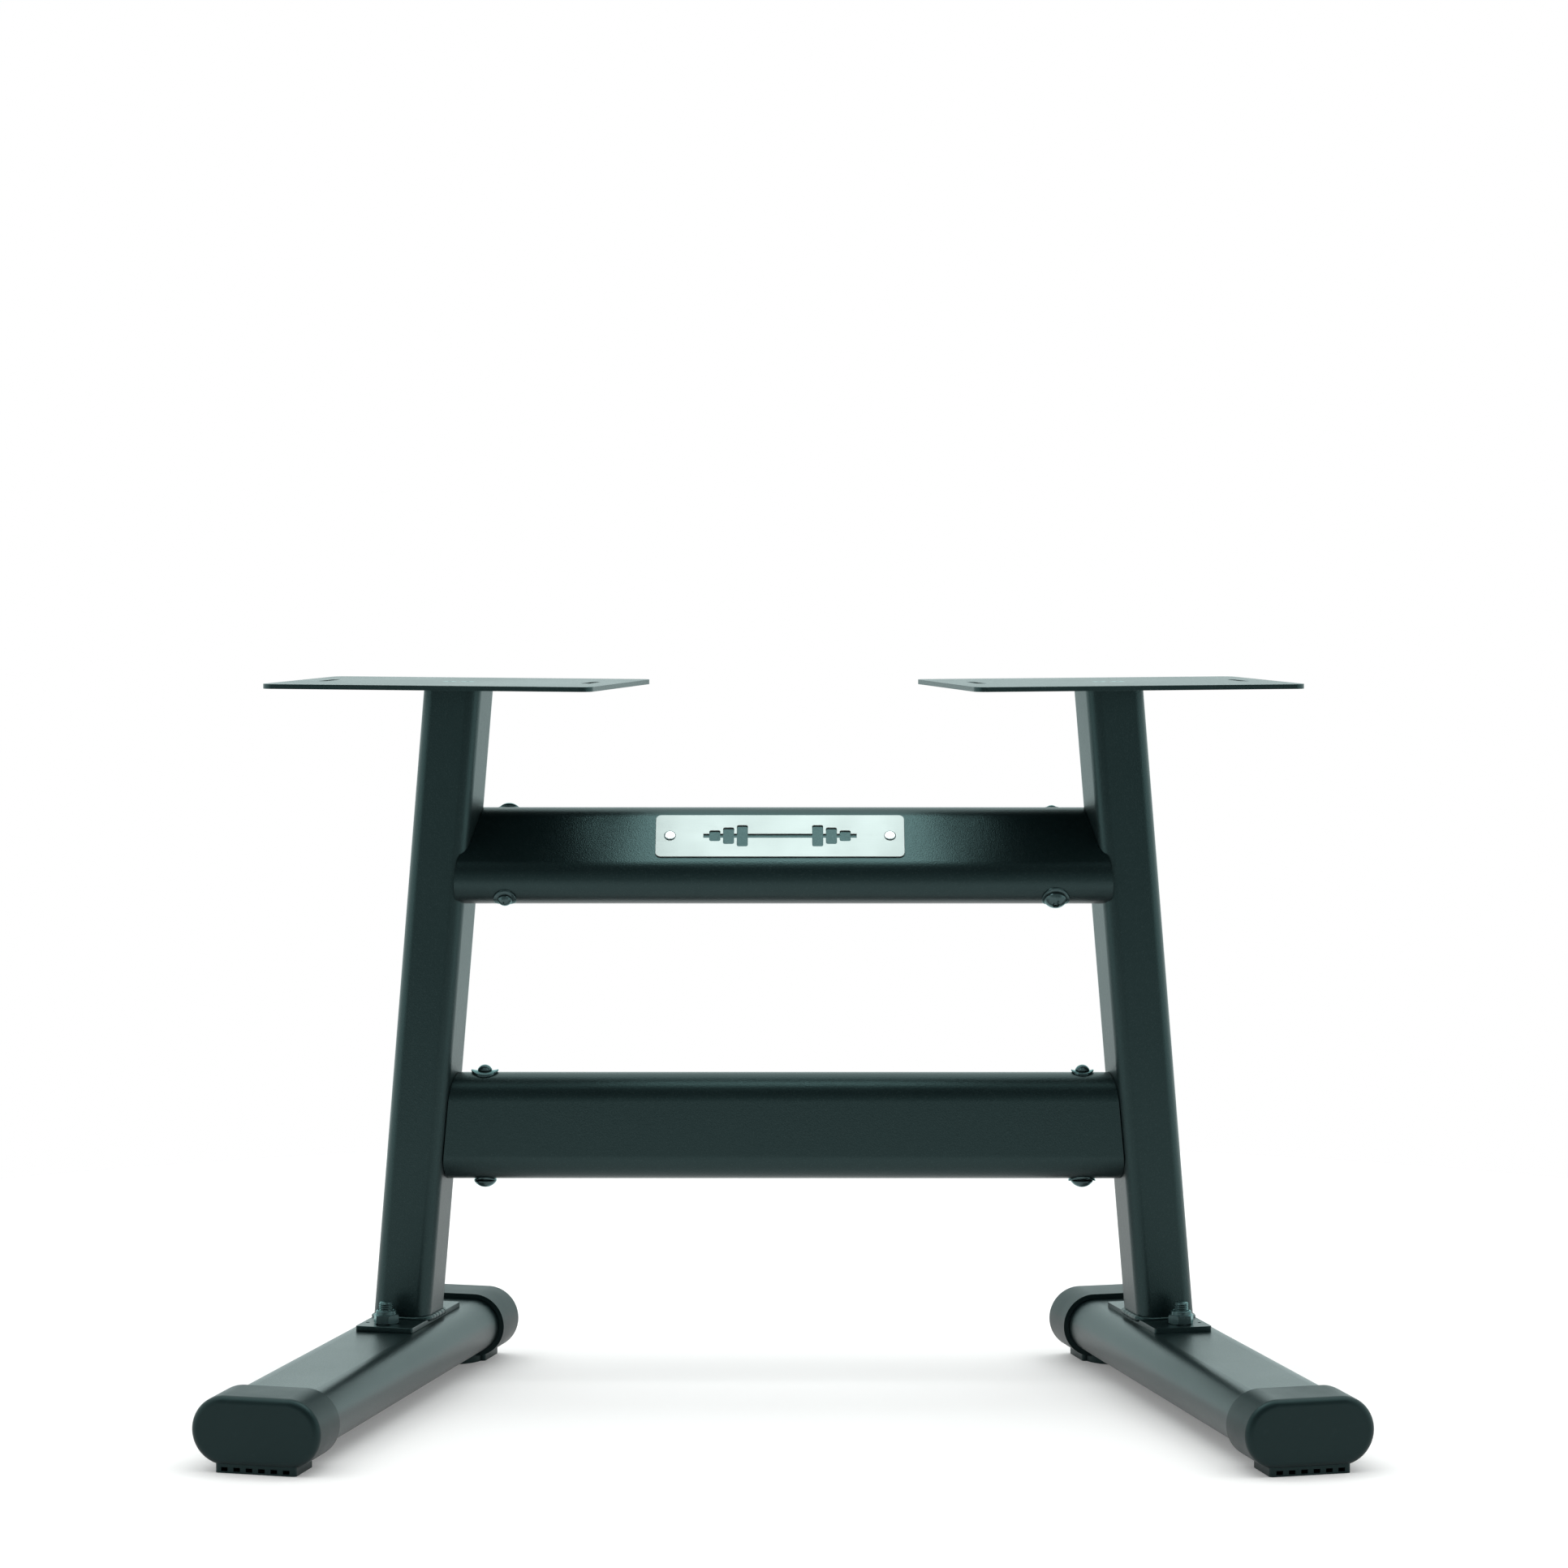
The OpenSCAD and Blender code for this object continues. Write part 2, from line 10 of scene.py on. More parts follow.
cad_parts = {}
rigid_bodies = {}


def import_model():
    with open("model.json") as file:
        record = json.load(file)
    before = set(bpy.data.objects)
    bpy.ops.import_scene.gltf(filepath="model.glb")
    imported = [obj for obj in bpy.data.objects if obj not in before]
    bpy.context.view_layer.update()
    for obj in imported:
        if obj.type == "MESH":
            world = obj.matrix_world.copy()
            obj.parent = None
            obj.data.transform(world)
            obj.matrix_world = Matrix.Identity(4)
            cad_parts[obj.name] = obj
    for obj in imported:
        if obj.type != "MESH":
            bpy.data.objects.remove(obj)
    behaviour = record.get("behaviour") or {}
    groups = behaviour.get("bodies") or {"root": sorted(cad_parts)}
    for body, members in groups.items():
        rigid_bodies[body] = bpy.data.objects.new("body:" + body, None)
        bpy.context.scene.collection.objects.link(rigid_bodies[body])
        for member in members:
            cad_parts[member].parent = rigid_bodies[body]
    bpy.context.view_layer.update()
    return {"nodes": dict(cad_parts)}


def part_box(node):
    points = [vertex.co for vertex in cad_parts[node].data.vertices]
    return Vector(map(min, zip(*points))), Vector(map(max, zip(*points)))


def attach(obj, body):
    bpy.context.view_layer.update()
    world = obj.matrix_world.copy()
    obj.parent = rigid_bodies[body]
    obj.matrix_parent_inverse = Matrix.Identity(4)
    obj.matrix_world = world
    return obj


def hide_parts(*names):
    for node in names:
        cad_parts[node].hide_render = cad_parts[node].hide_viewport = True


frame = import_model()

MM = 0.001

# The stand's driving dimensions, in millimetres and degrees
SPLAY = 14
LEAN = 5.1
UPRIGHT_W = 50
UPRIGHT_R = 11
BOLT_IN = 52
BOLT_IN_UPPER_RIGHT = 57.5
SADDLE_T = 1.6
LOWER_Z = 221
UPPER_Z = 450
UPPER_TILT = 41.5
BEAM_W = 90
BEAM_H = 45
FOOT_BOLT_X = -4
FOOT_BOLT_Y = 45
PLATE_X = -3
PLATE_UP = 2.5
RIVET_X = 92
PLATE_T = 1.2
M12_FLATS = 19

# Light from straight ahead of the stand (0 degrees), over the top (90) and down behind it (180)
ROUND_LIGHT = ((0, 0.55), (10, 0.38), (28, 0.15), (48, 0.12), (60, 0.35), (72, 1.5), (80, 2.6), (100, 2.4),
               (125, 1.4), (180, 1.35))
BRIGHTEST = 2.6
SIDE_LIGHT_LOW = 1.6
SIDE_LIGHT_HIGH = 0.5
FLOOR_GLOW = 0.15
LAMP_TINT = (0.84, 1.0, 0.99)
GLOSS_TINT = (0.62, 1.0, 1.0, 1)

BODY = "root"
AUTO_SHARP = math.radians(35)


# ---------------------------------------------------------------- places

def middle(node):
    """Middle of a CAD node's box, in metres."""
    low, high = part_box(node)
    return (low + high) / 2


BASE_X = -middle("left_base_plate").x / MM
BASE_Y = middle("left_base_plate").y / MM
BASE_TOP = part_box("left_base_plate")[1].z / MM
FOOT_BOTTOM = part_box("left_foot_tube")[0].z / MM


def turned(axis, degrees):
    return Matrix.Rotation(math.radians(degrees), 4, axis)


def moved(x, y, z):
    """A shift given in millimetres."""
    return Matrix.Translation(Vector((x, y, z)) * MM)


def foot_frame(side):
    """A foot's frame under its upright, with Y back along the foot. side is -1 on the left and 1 on the
    right."""
    return moved(side * BASE_X, BASE_Y, 0) @ turned("Z", side * SPLAY)


def upright_lean(z):
    """How far an upright's axis has leaned at a height, square to its foot."""
    return (z - BASE_TOP) * math.tan(math.radians(LEAN))


def upright_x(z):
    return BASE_X - upright_lean(z) * math.cos(math.radians(SPLAY))


def upright_y(z):
    return BASE_Y - upright_lean(z) * math.sin(math.radians(SPLAY))


def beam_frame(z, tilt):
    """A beam's frame: X along it, Z along the long side of its section, -Y out of its front face."""
    return moved(0, upright_y(z), z) @ turned("X", -tilt)


def beam_bolt_places(z, tilt, lowered):
    """Frames on a beam's two bolt axes, with Z out of one end of each. lowered says, for the left and the
    right bolt, whether that end is on the beam's -Z side."""
    places = []
    for side, down in zip((-1, 1), lowered):
        inset = BOLT_IN_UPPER_RIGHT if z == UPPER_Z and side == 1 else BOLT_IN
        place = beam_frame(z, tilt) @ moved(side * (upright_x(z) - inset), 0, 0)
        places.append(place @ turned("X", 180 if down else 0))
    return places


# ---------------------------------------------------------------- node trees

class Wire:
    """An output of a node. Arithmetic on it adds the Math nodes that do the sum."""

    def __init__(self, board, socket):
        self.board = board
        self.socket = socket

    def _sum(self, operation, first, second):
        return self.board.maths(operation, first, second)

    def __add__(self, other):
        return self._sum("ADD", self, other)

    def __radd__(self, other):
        return self._sum("ADD", other, self)

    def __sub__(self, other):
        return self._sum("SUBTRACT", self, other)

    def __rsub__(self, other):
        return self._sum("SUBTRACT", other, self)

    def __mul__(self, other):
        return self._sum("MULTIPLY", self, other)

    def __truediv__(self, other):
        return self._sum("DIVIDE", self, other)

    def __pow__(self, other):
        return self._sum("POWER", self, other)


class Board:
    """A node tree that is being wired up."""

    def __init__(self, tree):
        self.tree = tree

    def node(self, kind, settings=None, inputs=None, output=0):
        """Adds a node: its settings first, then the values or wires of its sockets. Gives one output."""
        made = self.tree.nodes.new(kind)
        for name, value in (settings or {}).items():
            if name == "stops":
                self._set_stops(made.color_ramp, value)
            else:
                setattr(made, name, value)
        for name, value in (inputs or {}).items():
            if isinstance(value, Wire):
                self.tree.links.new(value.socket, made.inputs[name])
            else:
                made.inputs[name].default_value = value
        return Wire(self, made.outputs[output]) if made.outputs else None

    def maths(self, operation, *values):
        return self.node("ShaderNodeMath", {"operation": operation}, dict(enumerate(values)))

    def part(self, vector, axis):
        """One of a vector's three numbers."""
        return self.node("ShaderNodeSeparateXYZ", {}, {0: vector}, output=axis)

    def spread(self, value, low, high, to_low=0.0, to_high=1.0):
        """value taken from the range low..high to the range to_low..to_high, and held inside it."""
        inputs = {0: value, 1: low, 2: high, 3: to_low, 4: to_high}
        return self.node("ShaderNodeMapRange", {"clamp": True}, inputs)

    @staticmethod
    def _set_stops(ramp, stops):
        while len(ramp.elements) < len(stops):
            ramp.elements.new(1)
        for element, (position, colour) in zip(ramp.elements, stops):
            element.position = position
            element.color = (*colour, 1)


# ---------------------------------------------------------------- finishes

def grey(value):
    return (value, value, value)


class Finish(Board):
    """A material whose pattern is read in the object's own coordinates, in metres."""

    def __init__(self, name):
        self.material = bpy.data.materials.new(name)
        self.material.use_nodes = True
        super().__init__(self.material.node_tree)
        self.tree.nodes.clear()
        self.place = self.node("ShaderNodeTexCoord", output="Object")

    def noise(self, scale, detail=2.0, roughness=0.5, place=None):
        """Noise from 0 to 1, with scale in lumps per metre."""
        inputs = {"Vector": place or self.place, "Scale": scale, "Detail": detail, "Roughness": roughness}
        return self.node("ShaderNodeTexNoise", {}, inputs)

    def cells(self, scale):
        """Distance to the nearest of many scattered points, from 0 at a point."""
        inputs = {"Vector": self.place, "Scale": scale}
        return self.node("ShaderNodeTexVoronoi", {}, inputs, output="Distance")

    def stretched(self, scale):
        """Coordinates that are scaled unevenly, for drawn-out patterns."""
        inputs = {"Vector": self.place, "Scale": scale}
        return self.node("ShaderNodeMapping", {"vector_type": "POINT"}, inputs)

    def blend(self, share, first, second):
        """Colour that goes from first, a colour or a wire, to second as share goes from 0 to 1."""
        inputs = {0: share, 6: first if isinstance(first, Wire) else (*first, 1), 7: (*second, 1)}
        return self.node("ShaderNodeMix", {"data_type": "RGBA"}, inputs, output=2)

    def bump(self, height, depth, strength):
        """Normals from a height of 0 to 1 that stands for depth metres."""
        return self.node("ShaderNodeBump", {}, {"Height": height, "Distance": depth, "Strength": strength})

    def surface(self, **sockets):
        """Ends the tree in a Principled surface. A name's underscores stand for spaces."""
        inputs = {name.replace("_", " "): value for name, value in sockets.items()}
        shader = self.node("ShaderNodeBsdfPrincipled", {}, inputs)
        self.node("ShaderNodeOutputMaterial", {}, {"Surface": shader})
        return self.material


def powder_coat():
    """Fine-textured black coat: close pebbles, paler specks on them and a slow drift of shade."""
    coat = Finish("fine_texture_coat")
    pebbles = coat.cells(900)
    grain = coat.noise(850, detail=4, roughness=0.6)
    drift = coat.noise(9, detail=3)
    specks = coat.spread(grain, 0.54, 0.72)
    ground = coat.blend(drift, (0.0010, 0.0030, 0.0036), (0.0020, 0.0046, 0.0052))
    colour = coat.blend(specks * 0.5, ground, (0.022, 0.029, 0.029))
    height = pebbles * 0.6 + grain * 0.4
    return coat.surface(
        Base_Color=colour,
        Roughness=coat.spread(grain + drift * 0.5, 0.4, 1.1, 0.27, 0.40),
        Normal=coat.bump(height, 0.00016, 0.8),
        Specular_Tint=GLOSS_TINT,
    )


def moulded_rubber():
    """Black moulded rubber with a fine spark-eroded texture and a few paler scuffs."""
    rubber = Finish("moulded_rubber")
    texture = rubber.noise(2400, detail=2)
    drift = rubber.noise(22, detail=4)
    scuffs = rubber.spread(rubber.noise(70, detail=5, roughness=0.7), 0.60, 0.82)
    ground = rubber.blend(drift, (0.0022, 0.0052, 0.0058), (0.0040, 0.0076, 0.0082))
    return rubber.surface(
        Base_Color=rubber.blend(scuffs * 0.3, ground, (0.026, 0.032, 0.032)),
        Roughness=rubber.spread(drift + texture * 0.4, 0.4, 1.0, 0.36, 0.50),
        Normal=rubber.bump(texture, 0.00006, 0.5),
        Specular_Tint=GLOSS_TINT,
        Specular_IOR_Level=0.30,
    )


def black_zinc():
    """Glossy black-plated steel with faint tool marks."""
    plating = Finish("black_zinc_plating")
    marks = plating.noise(1, detail=3, place=plating.stretched((500, 500, 5000)))
    cloud = plating.noise(160, detail=3)
    return plating.surface(
        Base_Color=plating.blend(cloud, (0.030, 0.050, 0.052), (0.070, 0.100, 0.103)),
        Metallic=0.6,
        Roughness=plating.spread(cloud + marks * 0.4, 0.4, 1.0, 0.16, 0.30),
        Normal=plating.bump(marks, 0.00002, 0.35),
        Specular_Tint=GLOSS_TINT,
    )


def brushed_steel():
    """Stainless sheet, brushed along its length, with short cross marks mixed in all over."""
    sheet = Finish("brushed_stainless")
    along = sheet.noise(1, detail=4, roughness=0.65, place=sheet.stretched((35, 2600, 2600)))
    across = sheet.noise(1, detail=3, place=sheet.stretched((1900, 60, 60)))
    cloud = sheet.noise(24, detail=2)
    lines = along * 0.75 + across * 0.25
    return sheet.surface(
        Base_Color=sheet.blend(lines, (0.27, 0.274, 0.268), (0.44, 0.444, 0.436)),
        Metallic=1.0,
        Roughness=sheet.spread(lines + cloud * 0.4, 0.35, 0.95, 0.42, 0.60),
        Normal=sheet.bump(lines, 0.00003, 0.35),
    )


def rivet_aluminium():
    """Bright aluminium, smooth from the rivet tool."""
    metal = Finish("rivet_aluminium")
    rings = metal.noise(900, detail=2)
    return metal.surface(
        Base_Color=metal.blend(rings, grey(0.86), grey(0.94)),
        Metallic=1.0,
        Roughness=metal.spread(rings, 0.3, 0.7, 0.18, 0.32),
        Normal=metal.bump(rings, 0.00002, 0.2),
    )


COAT = powder_coat()
RUBBER = moulded_rubber()
ZINC = black_zinc()
STEEL = brushed_steel()
RIVET = rivet_aluminium()


# ---------------------------------------------------------------- meshes

def added(name, data):
    """A new object in the scene."""
    item = bpy.data.objects.new(name, data)
    bpy.context.scene.collection.objects.link(item)
    return item


def shown(name, mesh, material):
    """An object for a finished mesh, all of it in one material."""
    piece = added(name, mesh)
    mesh.materials.clear()
    mesh.materials.append(material)
    mesh.polygons.foreach_set("material_index", [0] * len(mesh.polygons))
    return piece


def hand_over(piece, material, *nodes):
    """Makes the piece ride on the stand, in place of the CAD nodes when there are any."""
    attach(piece, BODY)
    if nodes:
        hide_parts(*nodes)
    return piece


def evaluated(host, name, material):
    """The host with its modifiers, as a plain object. The host is removed."""
    graph = bpy.context.evaluated_depsgraph_get()
    mesh = bpy.data.meshes.new_from_object(host.evaluated_get(graph), depsgraph=graph)
    bpy.data.objects.remove(host)
    mesh.name = name
    return shown(name, mesh, material)


def even_normals(piece, name, material):
    """Keeps flat faces flat next to rounded edges, by weighting normals with face area."""
    piece.data.shade_smooth()
    piece.data.set_sharp_from_angle(angle=AUTO_SHARP)
    modifier = piece.modifiers.new("even_normals", "WEIGHTED_NORMAL")
    modifier.keep_sharp = True
    return evaluated(piece, name, material)


def softened(node, name, material, width, segments=2):
    """A CAD node's shape, with its sharp edges rounded over width millimetres."""
    weld_gap, flat_angle = 0.002 * MM, math.radians(0.8)
    shape = bmesh.new()
    shape.from_mesh(frame["nodes"][node].data)
    bmesh.ops.remove_doubles(shape, verts=shape.verts, dist=weld_gap)
    bmesh.ops.dissolve_limit(shape, angle_limit=flat_angle, verts=shape.verts, edges=shape.edges)
    sharp = [e for e in shape.edges if len(e.link_faces) == 2 and e.calc_face_angle(0) > AUTO_SHARP]
    bmesh.ops.bevel(shape, geom=sharp, offset=width * MM, segments=segments, profile=0.5,
                    affect="EDGES", clamp_overlap=True)
    mesh = bpy.data.meshes.new(name)
    shape.to_mesh(mesh)
    shape.free()
    draft = shown(name + "_draft", mesh, material)
    return hand_over(even_normals(draft, name, material), material, node)


def dress_cad(node, material):
    """Gives a CAD node that stays as it is its finish."""
    held = frame["nodes"][node]
    held.data.materials.clear()
    held.data.materials.append(material)


def hexagon(across_flats, limit=math.inf):
    """Radius round a hexagon that has a corner at angle 0, held inside a circle of radius limit."""
    sixth = math.pi / 3
    return lambda angle: min(across_flats / 2 / math.cos(angle % sixth - sixth / 2), limit)


def ringed(rings, segments=48, closed=False, shape=None):
    """A closed mesh round Z, from rings that run up its outside. Each ring is a radius and a height, in
    millimetres, and both may be functions of the angle. A closed set of rings makes a body with a bore, and
    any other is closed by a fan at each end. shape bends a finished point."""
    body = bmesh.new()
    rows = []
    for radius, height in rings:
        row = []
        for k in range(segments):
            angle = 2 * math.pi * k / segments
            r = radius(angle) if callable(radius) else radius
            z = height(angle) if callable(height) else height
            point = Vector((r * math.cos(angle), r * math.sin(angle), z))
            row.append(body.verts.new((shape(point) if shape else point) * MM))
        rows.append(row)
    spans = list(zip(rows, rows[1:])) + ([(rows[-1], rows[0])] if closed else [])
    for below, above in spans:
        for k in range(segments):
            n = (k + 1) % segments
            body.faces.new((below[k], below[n], above[n], above[k]))
    if not closed:
        for row, step in ((rows[0], -1), (rows[-1], 1)):
            hub = body.verts.new(sum((v.co for v in row), Vector()) / segments)
            for k in range(segments):
                body.faces.new((hub, row[k], row[(k + step) % segments]))
    mesh = bpy.data.meshes.new("ringed")
    body.to_mesh(mesh)
    body.free()
    return mesh


def dome(width, height, base, steps, inner=0.0):
    """Rings of a ball's cap of that width and height on a base height, from its rim in to a radius."""
    ball = (width * width / 4 + height * height) / (2 * height)
    rings = []
    for i in range(1, steps + 1):
        r = width / 2 + (inner - width / 2) * i / steps
        rings.append((r, base + height - ball + math.sqrt(ball * ball - r * r)))
    return rings


# ---------------------------------------------------------------- geometry nodes

class Shape(Board):
    """A Geometry Nodes tree with named inputs, run once on a host object."""

    def __init__(self, name, inputs):
        super().__init__(bpy.data.node_groups.new(name, "GeometryNodeTree"))
        face = self.tree.interface
        face.new_socket("Geometry", in_out="INPUT", socket_type="NodeSocketGeometry")
        self.ids = {}
        for label, kind in inputs.items():
            socket = face.new_socket(label, in_out="INPUT", socket_type="NodeSocket" + kind)
            self.ids[label] = socket.identifier
        face.new_socket("Geometry", in_out="OUTPUT", socket_type="NodeSocketGeometry")
        self.entry = self.tree.nodes.new("NodeGroupInput")

    def given(self, label):
        return Wire(self, self.entry.outputs[label])

    def close(self, geometry):
        """Ends the tree: real geometry, shaded smooth and painted."""
        real = self.node("GeometryNodeRealizeInstances", {}, {"Geometry": geometry})
        shaded = self.node("GeometryNodeSetShadeSmooth", {}, {"Geometry": real, "Shade Smooth": True})
        painted = self.node("GeometryNodeSetMaterial", {},
                            {"Geometry": shaded, "Material": self.given("Material")})
        self.node("NodeGroupOutput", {}, {"Geometry": painted})
        return self

    def run(self, host, name, material, values):
        modifier = host.modifiers.new(name, "NODES")
        modifier.node_group = self.tree
        modifier[self.ids["Material"]] = material
        for label, value in values.items():
            modifier[self.ids[label]] = value
        return evaluated(host, name, material)


def instancer():
    """Copies of one body on the host's points, each turned by the point's own rotation."""
    tree = Shape("set_out", {"Body": "Object", "Material": "Material"})
    body = tree.node("GeometryNodeObjectInfo", {}, {"Object": tree.given("Body")}, output="Geometry")
    turn = tree.node("GeometryNodeInputNamedAttribute", {"data_type": "QUATERNION"}, {"Name": "turn"})
    return tree.close(tree.node("GeometryNodeInstanceOnPoints", {}, {
        "Points": tree.given("Geometry"), "Instance": body, "Rotation": turn}))


def thread_tree():
    """A threaded rod with a chamfered tip on each of the host's points, Z along the rod from its root."""
    tree = Shape("screw_thread", {"Radius": "Float", "Pitch": "Float", "Depth": "Float", "Length": "Float",
                                  "Tip": "Float", "Rows": "Int", "Material": "Material"})
    radius, pitch, depth = tree.given("Radius"), tree.given("Pitch"), tree.given("Depth")
    length, tip = tree.given("Length"), tree.given("Tip")
    rod = tree.node("GeometryNodeMeshCylinder", {"fill_type": "TRIANGLE_FAN"}, {
        "Vertices": 40, "Side Segments": tree.given("Rows"), "Radius": radius, "Depth": length})
    place = tree.node("GeometryNodeInputPosition")
    along = tree.part(place, "Z")
    x = tree.part(place, "X")
    y = tree.part(place, "Y")
    angle = tree.maths("ARCTAN2", y, x)
    phase = tree.maths("FRACT", along / pitch - angle / (2 * math.pi))
    ridge = tree.maths("ABSOLUTE", phase * 2 - 1)
    crest = tree.maths("MINIMUM", ridge * 1.25, 1.0)
    threaded = radius - depth * (1 - crest)
    slope = radius - (along - (length / 2 - tip))
    held = tree.maths("MINIMUM", threaded, slope)
    share = held / radius
    ring = tree.node("ShaderNodeCombineXYZ", {}, {"X": x * share, "Y": y * share, "Z": along + length / 2})
    cut = tree.node("GeometryNodeSetPosition", {}, {"Geometry": rod, "Position": ring})
    return tree.close(tree.node("GeometryNodeInstanceOnPoints", {}, {
        "Points": tree.given("Geometry"), "Instance": cut}))


def weld_tree():
    """A weld bead along the host's closed path: overlapping ripples, thicker on the side of +X or -X."""
    tree = Shape("weld_bead", {"Bead": "Float", "Ripple": "Float", "Inner Side": "Float", "Seed": "Float",
                               "Material": "Material"})
    bead, ripple = tree.given("Bead"), tree.given("Ripple")
    path = tree.node("GeometryNodeMeshToCurve", {}, {0: tree.given("Geometry")})
    steps = tree.node("GeometryNodeResampleCurve", {"mode": "LENGTH"}, {"Curve": path, "Length": 0.35 * MM})
    run = tree.node("GeometryNodeSplineParameter", output="Length")
    place = tree.node("GeometryNodeInputPosition")
    x = tree.part(place, "X")
    wander = tree.node("ShaderNodeTexNoise", {"noise_dimensions": "4D"}, {
        "Vector": place, "W": tree.given("Seed"), "Scale": 210.0, "Detail": 2.0})
    phase = tree.maths("FRACT", run / ripple + wander * 0.9)
    crescent = tree.maths("SINE", phase ** 0.6 * math.pi)
    inner = tree.spread(x * tree.given("Inner Side"), 12 * MM, 25 * MM, 0.62, 1.0)
    size = bead * inner * (0.85 + crescent * 0.15 + (wander - 0.5) * 0.3)
    section = tree.node("GeometryNodeCurvePrimitiveCircle", {}, {"Resolution": 12, "Radius": 1.0})
    solid = tree.node("GeometryNodeCurveToMesh", {}, {
        "Curve": steps, "Profile Curve": section, "Scale": size})
    return tree.close(solid)


SET_OUT = instancer()
THREAD = thread_tree()
WELD = weld_tree()


def points_host(places):
    """An object with a point at each place and the place's rotation on it."""
    mesh = bpy.data.meshes.new("places")
    mesh.from_pydata([place.to_translation() for place in places], [], [])
    turn = mesh.attributes.new("turn", "QUATERNION", "POINT")
    for entry, place in zip(turn.data, places):
        entry.value = place.to_quaternion()
    return added("places", mesh)


def set_out(name, mesh, places, material, *nodes):
    """One piece made of equal bodies, one at each place."""
    pattern = added(name + "_pattern", mesh)
    draft = SET_OUT.run(points_host(places), name + "_draft", material, {"Body": pattern})
    bpy.data.objects.remove(pattern)
    return hand_over(even_normals(draft, name, material), material, *nodes)


# ---------------------------------------------------------------- the stand

def frame_steel():
    for side in ("left", "right"):
        dress_cad(f"{side}_foot_tube", COAT)
        dress_cad(f"{side}_upright_end_plate", COAT)
        dress_cad(f"upper_{side}_beam_bracket", COAT)
        dress_cad(f"lower_{side}_beam_bracket", COAT)
        softened(f"{side}_upright", f"{side}_upright_tube", COAT, 0.5)
        softened(f"{side}_base_plate", f"{side}_foot_plate", COAT, 0.5)
        softened(f"{side}_tray_plate", f"{side}_tray", COAT, 0.7, 3)
    softened("lower_crossbeam", "lower_beam_tube", COAT, 0.5)
    softened("upper_crossbeam", "upper_beam_tube", COAT, 0.5)


def foot_caps():
    for place in ("front_left", "front_right", "rear_left", "rear_right"):
        softened(f"{place}_foot_cap", f"{place}_end_cap", RUBBER, 0.5)


def foot_bolt_places(z):
    """Upright frames on the four foot bolts' axes, at a height."""
    return [foot_frame(side) @ moved(-side * FOOT_BOLT_X, y, z)
            for side in (-1, 1) for y in (-FOOT_BOLT_Y, FOOT_BOLT_Y)]


def chamfered_hexagon(across_flats, low, high):
    """Rings up the outside of a hexagon whose corners are turned off by a cone at both ends."""
    slope = math.tan(math.radians(30))
    turned_r = across_flats / 2 - 0.25
    corner = hexagon(across_flats)

    def drop(angle):
        return (corner(angle) - turned_r) * slope

    return [(hexagon(across_flats, turned_r), low),
            (corner, lambda angle: low + drop(angle)),
            (corner, lambda angle: high - drop(angle)),
            (hexagon(across_flats, turned_r), high)]


def lock_nut():
    """M12 nut: a hexagon under a rounded collar that holds the locking ring."""
    bore, collar, hex_top, top = 5.7, 8.6, 8.0, 11.2
    outside = chamfered_hexagon(M12_FLATS, 0, hex_top)
    shoulder = [(collar + 0.15, hex_top), (collar, hex_top + 0.3)]
    arc = [(collar - 1.6 * (1 - math.cos(t)), top - 1.6 + 1.6 * math.sin(t))
           for t in (math.radians(a) for a in (0, 22, 45, 68, 90))]
    ring = [(6.4, top), (6.2, top - 0.5), (bore, top - 0.9)]
    return ringed([(bore + 0.6, 0)] + outside + shoulder + arc + ring + [(bore, 0.6)], 72, closed=True)


def hexagon_head():
    """M12 hexagon head under the foot, upside down, on a plain shank that runs up to the thread."""
    height, shank = 6, 49
    rings = [(0.4, -height)] + chamfered_hexagon(M12_FLATS, -height, -0.6)
    washer_face = [(8.9, -0.6), (8.9, -0.05), (6.0, 0)]
    return ringed(rings + washer_face + [(6.0, shank), (0.4, shank)], 72)


def flat_washer(outer, inner, thick):
    edge = min(0.35, thick / 4)
    return ringed([(inner + edge, 0), (outer - edge, 0), (outer, edge), (outer, thick - edge),
                   (outer - edge, thick), (inner + edge, thick), (inner, thick - edge), (inner, edge)],
                  64, closed=True)


def button_head(shank):
    """Domed head of 18.6 mm with a hexagon socket, its seat at 0 and its shank below."""
    width, height, rim, socket = 18.6, 6.0, 1.0, 6.0
    ball_rings = dome(width, height - rim, rim, 8, inner=4.0)
    ball = (width * width / 4 + (height - rim) ** 2) / (2 * (height - rim))

    def on_dome(radius):
        return lambda angle: height - ball + math.sqrt(ball * ball - radius(angle) ** 2)

    lip, wall = hexagon(socket + 0.35), hexagon(socket)
    rings = [(0.4, -shank), (3.4, -shank), (4.0, -shank + 0.6), (4.0, -0.2), (4.2, 0)]
    rings += [(width / 2 - 0.35, 0), (width / 2, 0.3), (width / 2, rim)]
    rings += ball_rings + [(lip, on_dome(lip)), (wall, lambda a: on_dome(wall)(a) - 0.25)]
    rings += [(wall, height / 2), (hexagon(socket - 0.5), height / 2 - 0.2), (0.4, height / 2 - 1.1)]
    return ringed(rings, 72)


def cap_nut():
    """Round-topped cap nut of 12 mm, its seat at 0."""
    rings = [(0.4, 0), (5.7, 0), (6.0, 0.3), (6.0, 1.1), (5.85, 1.3)]
    rings += dome(11.5, 3.4, 1.4, 9, inner=0.5)
    return ringed(rings, 56)


